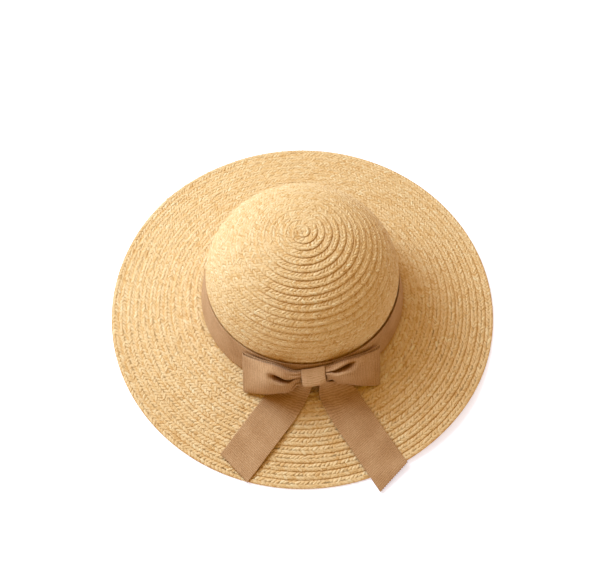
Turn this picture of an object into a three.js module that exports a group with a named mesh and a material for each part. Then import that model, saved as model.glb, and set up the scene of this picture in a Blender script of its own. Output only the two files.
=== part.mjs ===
// Wide-brimmed straw sun hat with a ribbon band and a flat bow.
// Millimetres, +Z up. The origin is on the surface that the rim rests on, under the crown's
// middle, and the bow is at the front, -Y. Straw and ribbon are thin walls.

import * as THREE from 'three';
import { mergeVertices } from 'three/addons/utils/BufferGeometryUtils.js';

// Straw: the crown, measured outside at the top of its side, and the brim.
const crownWidth = 183;
const crownLength = 190;
const crownFlare = 6.5;
const crownSideHeight = 32;
const domeHeight = 70;
const partingDepth = 2;
const brimWidth = 380;
const brimLength = 391;
const brimDrop = 16;
const brimBend = 1.3;
const strawThickness = 2;
const rimRowWidth = 8;
const crownRowPitch = 6.8;
const brimRowPitch = 7.8;
const rowLap = 0.6;

// Ribbon: the band, the bow and its tails.
const ribbonThickness = 1;
const ribbonWidth = 36;
const bandHeight = 32;
const bandGape = 1.4;
const bandGapeAzimuth = -55;
const bowOffset = 10.6;
const leftLoopReach = 65;
const rightLoopReach = 61;
const loopFold = 3;
const loopPuff = 2;
const pleatDepth = 0.8;
const knotWidth = 23.4;
const knotBulge = 1;
const leftTailLength = 94;
const rightTailLength = 100;
const tailWave = 1.2;
const tailSagSlope = 0.1;

// The gaps that neighbours keep.
const clearance = 0.3;
const bandClearance = 0.5;
const plyGap = 0.5;

// How finely the walls are divided.
const crownSides = 40;
const brimSides = 60;
const liningRings = 9;
const bandSides = 48;
const knotSides = 24;
const tailSteps = 20;

// Where the resting rim lifts off the surface: azimuth and spread in degrees, and height as a
// share of the brim's drop.
const rimLifts = [
  { azimuth: -42, spread: 34, height: 0.28 },
  { azimuth: 146, spread: 30, height: 0.125 },
];

// Sections of the bow's loops, from the pinch to the outer fold. reach is a share of the loop's
// length, top and bottom are the edges' heights as shares of the band's height, and topOut and
// bottomOut are their distances in front of the band as shares of the ribbon's width.
const pinch = { reach: 0.26, top: 0.93, topOut: 0.13, bottom: 0.4, bottomOut: 0.13 };
const leftLoopSections = [
  pinch,
  { reach: 0.45, top: 0.98, topOut: 0.085, bottom: 0.1, bottomOut: 0.2 },
  { reach: 0.66, top: 0.98, topOut: 0.09, bottom: 0, bottomOut: 0.34 },
  { reach: 1, top: 0.86, topOut: 0.13, bottom: 0, bottomOut: 0.58 },
];
const rightLoopSections = [
  pinch,
  { reach: 0.45, top: 0.93, topOut: 0.09, bottom: 0.1, bottomOut: 0.14 },
  { reach: 0.66, top: 0.88, topOut: 0.1, bottom: 0, bottomOut: 0.34 },
  { reach: 1, top: 0.68, topOut: 0.24, bottom: 0, bottomOut: 0.78 },
];

// The tails. splay and cut are angles in degrees, off straight ahead and off a square end, and
// heel is where the straight stretch would start beside the knot, in shares of the ribbon.
const leftTail = { side: -1, splay: 36.9, heel: 0.43, cut: 10, length: leftTailLength };
const rightTail = { side: 1, splay: 33.4, heel: 0.45, cut: 13, length: rightTailLength };

const strawMaterial = new THREE.MeshStandardMaterial({ color: 0xe0b984, roughness: 0.75, metalness: 0 });
const ribbonMaterial = new THREE.MeshStandardMaterial({ color: 0xb98c58, roughness: 0.85, metalness: 0 });

const degree = Math.PI / 180;
const footHeight = brimDrop + strawThickness;
const sheetHalf = ribbonThickness / 2;

function lerp(a, b, share) {
  return a + (b - a) * share;
}

function clamp(value, low, high) {
  return Math.min(high, Math.max(low, value));
}

function smooth(from, to, value) {
  const share = clamp((value - from) / (to - from), 0, 1);
  return share * share * (3 - 2 * share);
}

// A column's value between the rows of a table, as a smooth curve through all of them.
function along(rows, key, column, value) {
  const last = rows.length - 1;
  if (value <= rows[0][key]) return rows[0][column];
  if (value >= rows[last][key]) return rows[last][column];
  let row = 0;
  while (value > rows[row + 1][key]) row += 1;
  const before = rows[Math.max(0, row - 1)];
  const start = rows[row];
  const end = rows[row + 1];
  const after = rows[Math.min(last, row + 2)];
  const span = end[key] - start[key];
  const share = (value - start[key]) / span;
  const slopeIn = (end[column] - before[column]) / (end[key] - before[key]) * span;
  const slopeOut = (after[column] - start[column]) / (after[key] - start[key]) * span;
  const square = share * share;
  const cube = square * share;
  return (2 * cube - 3 * square + 1) * start[column] + (cube - 2 * square + share) * slopeIn
    + (3 * square - 2 * cube) * end[column] + (cube - square) * slopeOut;
}

// An indexed mesh whose faces point away from the volume that they enclose.
function closedMesh(positions, indices) {
  const loose = new THREE.BufferGeometry();
  loose.setAttribute('position', new THREE.Float32BufferAttribute(positions, 3));
  loose.setIndex(indices);
  const geometry = mergeVertices(loose, 1e-4);
  const position = geometry.getAttribute('position');
  const index = geometry.getIndex();
  const corner = [new THREE.Vector3(), new THREE.Vector3(), new THREE.Vector3()];
  let volume = 0;
  for (let start = 0; start < index.count; start += 3) {
    corner.forEach((point, step) => point.fromBufferAttribute(position, index.getX(start + step)));
    volume += corner[0].dot(corner[1].cross(corner[2]));
  }
  if (volume < 0) index.array.reverse();
  geometry.computeVertexNormals();
  return geometry;
}

// A closed mesh from rings of points, each joined to the next. A ring of one point is a pole.
// With loop set, the last ring joins the first.
function meshFromRings(rings, loop) {
  const positions = [];
  const starts = [];
  for (const ring of rings) {
    starts.push(positions.length / 3);
    for (const point of ring) positions.push(point.x, point.y, point.z);
  }
  const indices = [];
  const joins = loop ? rings.length : rings.length - 1;
  for (let number = 0; number < joins; number += 1) {
    const next = (number + 1) % rings.length;
    const sides = Math.max(rings[number].length, rings[next].length);
    const corner = (ring, side) => starts[ring] + side % rings[ring].length;
    for (let side = 0; side < sides; side += 1) {
      if (rings[number].length > 1) {
        indices.push(corner(number, side), corner(number, side + 1), corner(next, side));
      }
      if (rings[next].length > 1) {
        indices.push(corner(number, side + 1), corner(next, side + 1), corner(next, side));
      }
    }
  }
  return closedMesh(positions, indices);
}

// A thin sheet as a closed solid. middle(u, v) is its middle surface, with u and v from 0 to 1.
// With ring set, u = 1 joins u = 0.
function sheetGeometry(middle, stepsU, stepsV, ring) {
  const nudge = 1e-4;
  const rows = ring ? stepsU : stepsU + 1;
  const positions = [];
  for (const side of [1, -1]) {
    for (let row = 0; row < rows; row += 1) {
      for (let column = 0; column <= stepsV; column += 1) {
        const u = row / stepsU;
        const v = column / stepsV;
        const alongU = middle(u + nudge, v).sub(middle(u - nudge, v));
        const alongV = middle(u, v + nudge).sub(middle(u, v - nudge));
        const normal = alongU.cross(alongV).normalize();
        const point = middle(u, v).addScaledVector(normal, side * sheetHalf);
        positions.push(point.x, point.y, point.z);
      }
    }
  }
  const indices = [];
  const at = (side, row, column) => (side * rows + row % rows) * (stepsV + 1) + column;
  const quad = (a, b, c, d) => indices.push(a, b, c, a, c, d);
  for (let row = 0; row < stepsU; row += 1) {
    for (let column = 0; column < stepsV; column += 1) {
      const beside = column + 1;
      quad(at(0, row, column), at(0, row + 1, column), at(0, row + 1, beside), at(0, row, beside));
      quad(at(1, row, column), at(1, row, beside), at(1, row + 1, beside), at(1, row + 1, column));
    }
    quad(at(0, row, 0), at(1, row, 0), at(1, row + 1, 0), at(0, row + 1, 0));
    quad(at(0, row, stepsV), at(0, row + 1, stepsV), at(1, row + 1, stepsV), at(1, row, stepsV));
  }
  for (let column = 0; column < stepsV && !ring; column += 1) {
    const beside = column + 1;
    quad(at(0, 0, column), at(0, 0, beside), at(1, 0, beside), at(1, 0, column));
    quad(at(0, stepsU, column), at(1, stepsU, column), at(1, stepsU, beside), at(0, stepsU, beside));
  }
  return closedMesh(positions, indices);
}

function ellipseRing(halfWidth, halfLength, sides, heightAt) {
  const ring = [];
  for (let side = 0; side < sides; side += 1) {
    const azimuth = 2 * Math.PI * side / sides;
    const x = halfWidth * Math.cos(azimuth);
    const y = halfLength * Math.sin(azimuth);
    ring.push(new THREE.Vector3(x, y, heightAt(azimuth)));
  }
  return ring;
}

// The crown's profile by the distance run down from the tip: a quarter ellipse for the dome and
// a side that leans out to the foot. inset moves it in by the thickness of the wall.
function crownProfile(inset) {
  const halfWidth = crownWidth / 2 - inset;
  const halfLength = crownLength / 2 - inset;
  const sideTop = footHeight + crownSideHeight;
  const rows = [];
  const steps = 90;
  for (let step = 0; step <= steps; step += 1) {
    const angle = Math.PI / 2 * step / steps;
    const height = sideTop + (domeHeight - inset) * Math.cos(angle);
    rows.push({ halfWidth: halfWidth * Math.sin(angle), halfLength: halfLength * Math.sin(angle), height });
  }
  rows.push({
    halfWidth: halfWidth + crownFlare,
    halfLength: halfLength + crownFlare,
    height: footHeight + clearance,
  });
  let run = 0;
  rows.forEach((row, number) => {
    const before = rows[Math.max(0, number - 1)];
    run += Math.hypot(row.halfWidth - before.halfWidth, row.height - before.height);
    row.run = run;
  });
  return rows;
}

// A ring of the crown at a distance down its profile, raised from the surface.
function crownRing(profile, run, raise) {
  let number = 1;
  while (number < profile.length - 1 && profile[number].run < run) number += 1;
  const before = profile[number - 1];
  const after = profile[number];
  const step = after.run - before.run;
  const share = (run - before.run) / step;
  const outward = raise * (before.height - after.height) / step;
  const upward = raise * (after.halfWidth - before.halfWidth) / step;
  const halfWidth = lerp(before.halfWidth, after.halfWidth, share) + outward;
  const halfLength = lerp(before.halfLength, after.halfLength, share) + outward;
  const height = lerp(before.height, after.height, share) + upward;
  return ellipseRing(halfWidth, halfLength, crownSides, () => height);
}

// The crown is parted behind the band, where no seam shows. This is how far down a profile the
// parting's upper or lower face lies.
function partingRun(profile, offset) {
  const sideStart = profile[profile.length - 2];
  const foot = profile[profile.length - 1];
  const height = footHeight + crownSideHeight - partingDepth + offset;
  return lerp(sideStart.run, foot.run, (sideStart.height - height) / (sideStart.height - foot.height));
}

// The dome: rows of braid from the tip to the band's top edge, each lapping over the next one
// down, then a short plain edge behind the band, and a smooth inside.
function domeGeometry() {
  const outside = crownProfile(0);
  const inside = crownProfile(strawThickness);
  const domeRun = outside[outside.length - 2].run;
  const lapEnd = domeRun - 2 * rowLap - bandClearance;
  const rowCount = Math.round(lapEnd / crownRowPitch);
  const lapRun = rowLap * 1.4;
  const rings = [[new THREE.Vector3(0, 0, outside[0].height + rowLap)]];
  for (let row = 1; row <= rowCount; row += 1) {
    const edge = lapEnd * row / rowCount;
    rings.push(crownRing(outside, edge, rowLap));
    rings.push(crownRing(outside, edge + lapRun, 0));
  }
  rings.push(crownRing(outside, partingRun(outside, clearance / 2), 0));
  rings.push(crownRing(inside, partingRun(inside, clearance / 2), 0));
  const insideDomeRun = inside[inside.length - 2].run;
  for (let ring = liningRings; ring > 0; ring -= 1) {
    rings.push(crownRing(inside, insideDomeRun * ring / liningRings, 0));
  }
  rings.push([new THREE.Vector3(0, 0, inside[0].height)]);
  return meshFromRings(rings, false);
}

// The side: the crown's plain wall behind the band, from the parting to the foot.
function sideGeometry() {
  const rings = [];
  for (const inset of [0, strawThickness]) {
    const profile = crownProfile(inset);
    const edges = [partingRun(profile, -clearance / 2), profile[profile.length - 1].run];
    if (inset > 0) edges.reverse();
    for (const edge of edges) rings.push(crownRing(profile, edge, 0));
  }
  return meshFromRings(rings, true);
}

// How far the rim is lifted at an azimuth, fading to nothing at each side of a lift.
function rimLift(azimuth) {
  let height = 0;
  for (const lift of rimLifts) {
    const turn = azimuth - lift.azimuth * degree;
    const away = Math.abs(Math.atan2(Math.sin(turn), Math.cos(turn)));
    const share = Math.min(1, away / (lift.spread * degree));
    height += lift.height * brimDrop * Math.cos(share * Math.PI / 2) ** 2;
  }
  return height;
}

// The brim starts under the crown's wall. Shares run from its inner edge to the rim.
const brimInnerHalfWidth = crownWidth / 2 + crownFlare - strawThickness;
const brimInnerHalfLength = crownLength / 2 + crownFlare - strawThickness;
const brimRun = brimWidth / 2 - brimInnerHalfWidth;
const rimRowShare = 1 - rimRowWidth / brimRun;
const bandShare = (strawThickness + bandClearance + ribbonThickness) / brimRun;

// The height of the brim's underside. It curves down to the outermost row of braid, which is
// level, so that the hat rests flat on it.
function brimUnder(share, azimuth) {
  const left = Math.max(0, 1 - share / rimRowShare);
  return brimDrop * left ** brimBend + rimLift(azimuth) * share ** 2;
}

// The brim's top at a point seen from above. Past the rim it runs on down at a slight slope,
// as a ribbon that hangs over the rim sags.
function brimTop(x, y) {
  let share = 0.3;
  for (let step = 0; step < 12; step += 1) {
    const halfWidth = lerp(brimInnerHalfWidth, brimWidth / 2, share);
    const halfLength = lerp(brimInnerHalfLength, brimLength / 2, share);
    share += (Math.hypot(x / halfWidth, y / halfLength) - 1) * halfWidth / brimRun;
  }
  const azimuth = Math.atan2(y / brimLength, x / brimWidth);
  const sag = tailSagSlope * Math.max(0, share - 1) * brimRun;
  return brimUnder(clamp(share, 0, 1), azimuth) + strawThickness + rowLap - sag;
}

function brimRing(share, raise) {
  const halfWidth = lerp(brimInnerHalfWidth, brimWidth / 2, share);
  const halfLength = lerp(brimInnerHalfLength, brimLength / 2, share);
  return ellipseRing(halfWidth, halfLength, brimSides, (azimuth) => brimUnder(share, azimuth) + raise);
}

// The brim: rows of braid on top, each lapping over the next one out, and a smooth underside.
function brimGeometry() {
  const rowCount = Math.round((1 - bandShare) * brimRun / brimRowPitch);
  const lapShare = rowLap * 1.4 / brimRun;
  const rings = [brimRing(0, strawThickness), brimRing(bandShare, strawThickness)];
  for (let row = 1; row <= rowCount; row += 1) {
    const edge = lerp(bandShare, 1, row / rowCount);
    rings.push(brimRing(edge, strawThickness + rowLap));
    if (row < rowCount) rings.push(brimRing(edge + lapShare, strawThickness));
  }
  rings.push(brimRing(1, 0));
  for (let ring = liningRings; ring >= 0; ring -= 1) {
    rings.push(brimRing(rimRowShare * ring / liningRings, 0));
  }
  return meshFromRings(rings, true);
}

// Half sizes of the band's outer face at a height: it follows the crown's side, and its top
// edge stands off a little where it gapes.
function bandHalf(crownSize, height, azimuth) {
  const share = (height - footHeight - clearance) / bandHeight;
  const lean = crownFlare * (1 - (height - footHeight) / crownSideHeight);
  const near = (1 + Math.cos(azimuth - bandGapeAzimuth * degree)) / 2;
  const gape = bandGape * near ** 4 * Math.max(0, share) ** 2;
  return crownSize / 2 + lean + bandClearance + ribbonThickness + gape;
}

function bandGeometry() {
  const middle = (u, v) => {
    const azimuth = 2 * Math.PI * u;
    const height = footHeight + clearance + bandHeight * v;
    const halfWidth = bandHalf(crownWidth, height, azimuth) - sheetHalf;
    const halfLength = bandHalf(crownLength, height, azimuth) - sheetHalf;
    return new THREE.Vector3(halfWidth * Math.cos(azimuth), halfLength * Math.sin(azimuth), height);
  };
  return sheetGeometry(middle, bandSides, 3, true);
}

// A point in front of the band: x across, its height, and its distance out from the band.
function beforeBand(x, height, out) {
  const halfWidth = bandHalf(crownWidth, height, 0);
  const azimuth = -Math.acos(clamp(x / halfWidth, -0.95, 0.95));
  const halfLength = bandHalf(crownLength, height, azimuth);
  return new THREE.Vector3(x, halfLength * Math.sin(azimuth) - out, height);
}

// The bow's loops as one ring of ribbon. A loop's ply is ruled between its top and its bottom
// edge. The rear ply lies close behind the front one, and both are pleated at the pinch.
function loopPoint(side, reach, behind, v) {
  const rows = side < 0 ? leftLoopSections : rightLoopSections;
  const x = bowOffset + side * reach * (side < 0 ? leftLoopReach : rightLoopReach);
  const section = (column) => along(rows, 'reach', column, reach);
  const floorGap = 2 * clearance + 1.5 * ribbonThickness;
  const topHeight = footHeight + clearance + section('top') * bandHeight;
  const top = beforeBand(x, topHeight, section('topOut') * ribbonWidth - behind);
  const bottomShare = section('bottom');
  const bottomOut = section('bottomOut') * ribbonWidth - behind;
  const bottom = beforeBand(x, footHeight + clearance + bottomShare * bandHeight, bottomOut);
  const onBrim = brimTop(x, bottom.y) + floorGap;
  bottom.z = lerp(onBrim, bottom.z, clamp(bottomShare / pinch.bottom, 0, 1));
  const point = top.lerp(bottom, v);
  const pleat = pleatDepth * (1 - smooth(pinch.reach, 0.7, reach));
  point.y += pleat * Math.cos(3 * Math.PI * v);
  return point;
}

function loopsGeometry() {
  const plySteps = 13;
  const foldSteps = 3;
  const lapSteps = 2 * (plySteps + foldSteps);
  const nearGap = ribbonThickness + plyGap;
  const middle = (u, v) => {
    const step = ((u * lapSteps) % lapSteps + lapSteps) % lapSteps;
    const half = plySteps + foldSteps;
    const rear = step >= half;
    const place = rear ? step - half : step;
    const direction = rear ? -1 : 1;
    const across = clamp(place / plySteps, 0, 1) * 2 - 1;
    const side = direction * across < 0 ? -1 : 1;
    const length = side < 0 ? leftLoopReach : rightLoopReach;
    const flat = 1 - loopFold / 2 / length;
    const reach = Math.abs(across) * flat;
    const puff = loopPuff * smooth(pinch.reach, 0.6, reach) * smooth(1, 0.8, reach) * v;
    const gap = lerp(nearGap, loopFold, smooth(0.7, flat, reach)) + puff;
    const turn = Math.PI * Math.max(0, place - plySteps) / foldSteps;
    const swing = reach + (1 - flat) * Math.sin(turn);
    const behind = rear ? gap * (1 + Math.cos(turn)) / 2 : gap * (1 - Math.cos(turn)) / 2;
    return loopPoint(side, swing, behind, v);
  };
  return sheetGeometry(middle, lapSteps, 6, true);
}

// The knot: a short sleeve of ribbon round both plies of the pinched bow, fuller in front.
const pinchFront = pinch.topOut * ribbonWidth + pleatDepth + sheetHalf;
const pinchRear = pinch.topOut * ribbonWidth - ribbonThickness - plyGap - pleatDepth - sheetHalf;
const knotTop = footHeight + pinch.top * bandHeight + 4 * clearance + sheetHalf;
const knotBottom = footHeight + pinch.bottom * bandHeight - 2 * clearance - sheetHalf;

function knotGeometry() {
  const halfDepth = (pinchFront - pinchRear) / 2 + clearance + sheetHalf;
  const halfHeight = (knotTop - knotBottom) / 2;
  const roundness = 0.3;
  const middle = (u, v) => {
    const angle = 2 * Math.PI * u;
    const deep = Math.sign(Math.cos(angle)) * Math.abs(Math.cos(angle)) ** roundness;
    const high = Math.sign(Math.sin(angle)) * Math.abs(Math.sin(angle)) ** roundness;
    const swell = knotBulge * Math.max(0, deep) * (1 - (2 * v - 1) ** 2);
    const out = (pinchFront + pinchRear) / 2 + halfDepth * deep + swell;
    const height = (knotTop + knotBottom) / 2 + halfHeight * high;
    return beforeBand(bowOffset + knotWidth * (v - 0.5), height, out);
  };
  return sheetGeometry(middle, knotSides, 4, true);
}

// A tail: it drops from under the knot to the brim, fans out to the ribbon's full width and
// lies along the brim in one low wave. v runs from the inner to the outer edge.
function tailGeometry(tail) {
  const splay = tail.splay * degree;
  const heelX = bowOffset + tail.side * tail.heel * ribbonWidth;
  const heelY = -(crownLength / 2 + crownFlare);
  const restHeight = clearance + sheetHalf;
  const startHeight = knotBottom - ribbonThickness - clearance;
  const startOut = (pinchFront + pinchRear) / 2;
  const middle = (u, v) => {
    const offCentre = ribbonWidth * (v - 0.5);
    const reach = (tail.length - offCentre * Math.tan(tail.cut * degree)) * u;
    const flatX = heelX + tail.side * (reach * Math.sin(splay) + offCentre * Math.cos(splay));
    const flatY = heelY - reach * Math.cos(splay) + offCentre * Math.sin(splay);
    const knotX = bowOffset + tail.side * knotWidth * lerp(0.06, 0.46, v);
    const start = beforeBand(knotX, startHeight, startOut);
    const fan = smooth(0.02, 0.32, u);
    const point = start.lerp(new THREE.Vector3(flatX, flatY, 0), fan);
    const wave = tailWave * smooth(0.25, 0.5, u) * smooth(0.95, 0.7, u);
    const onBrim = brimTop(point.x, point.y) + restHeight + wave;
    point.z = lerp(startHeight, onBrim, smooth(0, 0.17, u));
    const nearBand = beforeBand(point.x, point.z, restHeight);
    point.y = Math.min(point.y, nearBand.y);
    return point;
  };
  return sheetGeometry(middle, tailSteps, 5, false);
}

const hat = new THREE.Group();

function addPiece(name, geometry, material) {
  const piece = new THREE.Mesh(geometry, material);
  piece.name = name;
  hat.add(piece);
}

addPiece('crown_dome', domeGeometry(), strawMaterial);
addPiece('crown_side', sideGeometry(), strawMaterial);
addPiece('brim', brimGeometry(), strawMaterial);
addPiece('hat_band', bandGeometry(), ribbonMaterial);
addPiece('bow_loops', loopsGeometry(), ribbonMaterial);
addPiece('bow_knot', knotGeometry(), ribbonMaterial);
addPiece('tail_left', tailGeometry(leftTail), ribbonMaterial);
addPiece('tail_right', tailGeometry(rightTail), ribbonMaterial);

export default hat;
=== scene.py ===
import bmesh
import bpy
import numpy as np
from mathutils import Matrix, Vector


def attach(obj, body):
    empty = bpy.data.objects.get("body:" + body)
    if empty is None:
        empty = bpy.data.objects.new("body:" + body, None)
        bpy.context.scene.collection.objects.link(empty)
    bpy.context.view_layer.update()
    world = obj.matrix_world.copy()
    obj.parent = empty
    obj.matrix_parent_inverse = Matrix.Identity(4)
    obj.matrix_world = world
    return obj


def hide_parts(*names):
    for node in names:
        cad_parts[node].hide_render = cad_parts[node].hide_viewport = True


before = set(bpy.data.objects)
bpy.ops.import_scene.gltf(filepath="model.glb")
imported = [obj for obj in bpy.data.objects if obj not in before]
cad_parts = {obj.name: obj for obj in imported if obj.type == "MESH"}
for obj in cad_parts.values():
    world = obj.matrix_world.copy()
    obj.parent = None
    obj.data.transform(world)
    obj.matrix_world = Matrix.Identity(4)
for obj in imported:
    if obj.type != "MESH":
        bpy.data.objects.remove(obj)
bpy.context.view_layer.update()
chance = np.random.default_rng(23)

# A straw sun hat with a ribbon bow. Lengths are millimetres and angles degrees, as the hat
# would be measured, and meshes become metres as they are made.
mm = 0.001
weld = 0.004   # points nearer than this are one


# A value a share of the way from a to b.
def lerp(a, b, share):
    return a + (b - a) * share


# A smooth step: 0 up to the start, 1 from the end on, and 3 s^2 - 2 s^3 for a share s between.
def smooth(start, end, value):
    share = np.clip((value - start) / (end - start), 0, 1)
    return share * share * (3 - 2 * share)


# Meshes


# A mesh from points in millimetres, quads and triangles. uv has a pair for each face corner,
# and strand has three values for each point.
def putMesh(name, points, quads, triangles=(), uv=None, strand=None):
    mesh = bpy.data.meshes.new(name)
    points = np.asarray(points, float).reshape(-1, 3) * mm
    triangles = np.asarray(triangles, int).reshape(-1, 3)
    corners = np.concatenate([np.asarray(quads).reshape(-1), triangles.reshape(-1)])
    totals = np.concatenate([np.full(len(quads), 4), np.full(len(triangles), 3)])
    mesh.vertices.add(len(points))
    mesh.vertices.foreach_set("co", points.reshape(-1).astype(np.float32))
    mesh.loops.add(len(corners))
    mesh.loops.foreach_set("vertex_index", corners.astype(np.int32))
    mesh.polygons.add(len(totals))
    mesh.polygons.foreach_set("loop_start", (np.cumsum(totals) - totals).astype(np.int32))
    mesh.polygons.foreach_set("use_smooth", np.ones(len(totals), bool))
    if uv is not None:
        layer = mesh.uv_layers.new(name="pattern")
        layer.data.foreach_set("uv", np.asarray(uv, np.float32).reshape(-1))
    if strand is not None:
        attribute = mesh.attributes.new("strand", "FLOAT_VECTOR", "POINT")
        attribute.data.foreach_set("vector", np.asarray(strand, np.float32).reshape(-1))
    mesh.update(calc_edges=True)
    piece = bpy.data.objects.new(name, mesh)
    bpy.context.collection.objects.link(piece)
    return piece


# Joins points that lie together, so that seams and poles close, and turns faces outwards.
def closeMesh(piece):
    work = bmesh.new()
    work.from_mesh(piece.data)
    bmesh.ops.remove_doubles(work, verts=work.verts, dist=weld * mm)
    bmesh.ops.recalc_face_normals(work, faces=work.faces)
    work.to_mesh(piece.data)
    work.free()


# Quads between neighbouring rows and columns of a grid of points, joined round where asked.
def gridQuads(rows, columns, rowRing=False, columnRing=False):
    r = np.arange(rows if rowRing else rows - 1)[:, None]
    c = np.arange(columns if columnRing else columns - 1)[None, :]
    nextR = (r + 1) % rows
    nextC = (c + 1) % columns
    corners = [r * columns + c, r * columns + nextC, nextR * columns + nextC, nextR * columns + c]
    return np.stack(np.broadcast_arrays(*corners), -1).reshape(-1, 4)


# Each quad's corners in a pattern laid over a grid, in the order of gridQuads.
def gridUv(u, v):
    uv = np.stack(np.broadcast_arrays(u, v), -1)
    return np.stack([uv[:-1, :-1], uv[:-1, 1:], uv[1:, 1:], uv[1:, :-1]], -2).reshape(-1, 2)


# Cloth: a grid of points on the middle surface, given a thickness to both sides. u and v are
# the lengths along and across the ribbon, in millimetres.
def putSheet(name, middle, u, v, cloth, ring=False):
    rows, columns = middle.shape[:2]
    quads = gridQuads(rows, columns, rowRing=ring)
    if ring:
        u = np.append(u, 2 * u[-1] - u[-2])
    piece = putMesh(name, middle, quads, uv=gridUv(u[:, None], v[None, :]))
    wall = piece.modifiers.new("Thickness", "SOLIDIFY")
    wall.thickness = ribbon["thickness"] * mm
    wall.offset = 0
    piece.data.materials.append(cloth)
    return piece


# Shader maths: a socket that stands in sums and products.
class Value:
    def __init__(self, finish, socket):
        self.finish = finish
        self.socket = socket

    def maths(self, operation, *values):
        return self.finish.node("Math", {"operation": operation}, dict(enumerate(values)))

    def __add__(self, other):
        return self.maths("ADD", self, other)

    def __radd__(self, other):
        return self.maths("ADD", other, self)

    def __sub__(self, other):
        return self.maths("SUBTRACT", self, other)

    def __rsub__(self, other):
        return self.maths("SUBTRACT", other, self)

    def __mul__(self, other):
        return self.maths("MULTIPLY", self, other)

    def __rmul__(self, other):
        return self.maths("MULTIPLY", other, self)

    def __pow__(self, other):
        return self.maths("POWER", self, other)

    def fraction(self):
        return self.maths("FRACT", self)

    def floor(self):
        return self.maths("FLOOR", self)

    def size(self):
        return self.maths("ABSOLUTE", self)

    def wave(self):
        return self.maths("SINE", self)

    def between(self, low, high):
        return self.finish.node("MapRange", {"interpolation_type": "SMOOTHSTEP"},
                                {"Value": self, "From Min": low, "From Max": high})


# A colour as seen on screen, given as 0 to 255, turned into the renderer's linear values.
def paint(red, green, blue):
    share = np.array([red, green, blue]) / 255
    linear = np.where(share <= 0.04045, share / 12.92, ((share + 0.055) / 1.055) ** 2.4)
    return (*linear.tolist(), 1)


class Finish:
    def __init__(self, name):
        self.material = bpy.data.materials.new(name)
        self.material.use_nodes = True
        self.tree = self.material.node_tree
        self.surface = self.tree.nodes["Principled BSDF"]

    # Adds a node of a type, with its settings and the values or links of its sockets.
    def node(self, kind, settings, sockets, output=0):
        node = self.tree.nodes.new("ShaderNode" + kind)
        for key, value in settings.items():
            if key == "stops":
                while len(node.color_ramp.elements) < len(value):
                    node.color_ramp.elements.new(0.5)
                for element, (place, colour) in zip(node.color_ramp.elements, value):
                    element.position = place
                    element.color = colour
            else:
                setattr(node, key, value)
        for key, value in sockets.items():
            self.join(node.inputs[key], value)
        return Value(self, node.outputs[output])

    def join(self, socket, value):
        if isinstance(value, Value):
            self.tree.links.new(value.socket, socket)
        else:
            socket.default_value = value

    def set(self, **sockets):
        for key, value in sockets.items():
            self.join(self.surface.inputs[key.replace("_", " ")], value)

    def parts(self, vector):
        return [self.node("SeparateXYZ", {}, {"Vector": vector}, output=part) for part in range(3)]

    def vector(self, x, y, z):
        return self.node("CombineXYZ", {}, {"X": x, "Y": y, "Z": z})

    def noise(self, vector, scale, detail=3, roughness=0.5):
        return self.node("TexNoise", {}, {"Vector": vector, "Scale": scale, "Detail": detail,
                                          "Roughness": roughness})

    def ramp(self, value, stops):
        return self.node("ValToRGB", {"stops": stops}, {"Fac": value})

    # The second colour over the first one, by a share.
    def blend(self, share, first, second):
        node = self.tree.nodes.new("ShaderNodeMix")
        node.data_type = "RGBA"
        self.join(node.inputs["Factor"], share)
        self.join(node.inputs[6], first)
        self.join(node.inputs[7], second)
        return Value(self, node.outputs[2])

    def bump(self, height, distance, strength=1):
        return self.node("Bump", {}, {"Height": height, "Distance": distance * mm,
                                      "Strength": strength})


# Camera: the photo's, found by fitting the hat's outline. focal and the centres are pixels.
camera = {
    "frame": (603, 585),
    "focal": 949,
    "centre": (302.3, 268.7),
    "elevation": 56.9,
    "distance": 900,
    "aimHeight": 60,
    "sensor": 36,
}


def addCamera():
    lens = bpy.data.cameras.new("camera")
    eye = bpy.data.objects.new("camera", lens)
    bpy.context.collection.objects.link(eye)
    width, height = camera["frame"]
    lens.sensor_width = camera["sensor"]
    lens.lens = camera["sensor"] * camera["focal"] / width
    lens.shift_x = (width / 2 - camera["centre"][0]) / width
    lens.shift_y = (camera["centre"][1] - height / 2) / width
    lift = np.radians(camera["elevation"])
    aim = Vector((0, 0, camera["aimHeight"] * mm))
    away = Vector((0, -np.cos(lift), np.sin(lift)))
    eye.location = aim + away * camera["distance"] * mm
    eye.rotation_euler = (-away).to_track_quat("-Z", "Y").to_euler()
    lens.clip_end = 20
    bpy.context.scene.camera = eye


# Light: a large cool key from the back left, a larger and paler panel above it, and a little warm
# even fill. A lamp's strength is that on a surface that faces it, at the hat. The floor glows
# faintly, so that it stays white beside the hat's soft shadow.
lamps = [
    {"name": "key", "azimuth": 150, "elevation": 44, "distance": 1300, "size": 800, "strength": 3.35,
     "colour": (203, 230, 255)},
    {"name": "panel", "azimuth": 130, "elevation": 66, "distance": 1500, "size": 1900,
     "strength": 1.6, "colour": (232, 238, 252)},
]
fill = {"colour": (255, 200, 70), "strength": 0.39}
ground = {"colour": (250, 249, 247), "glowColour": (212, 226, 255), "glow": 0.62, "size": 2000}


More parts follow.
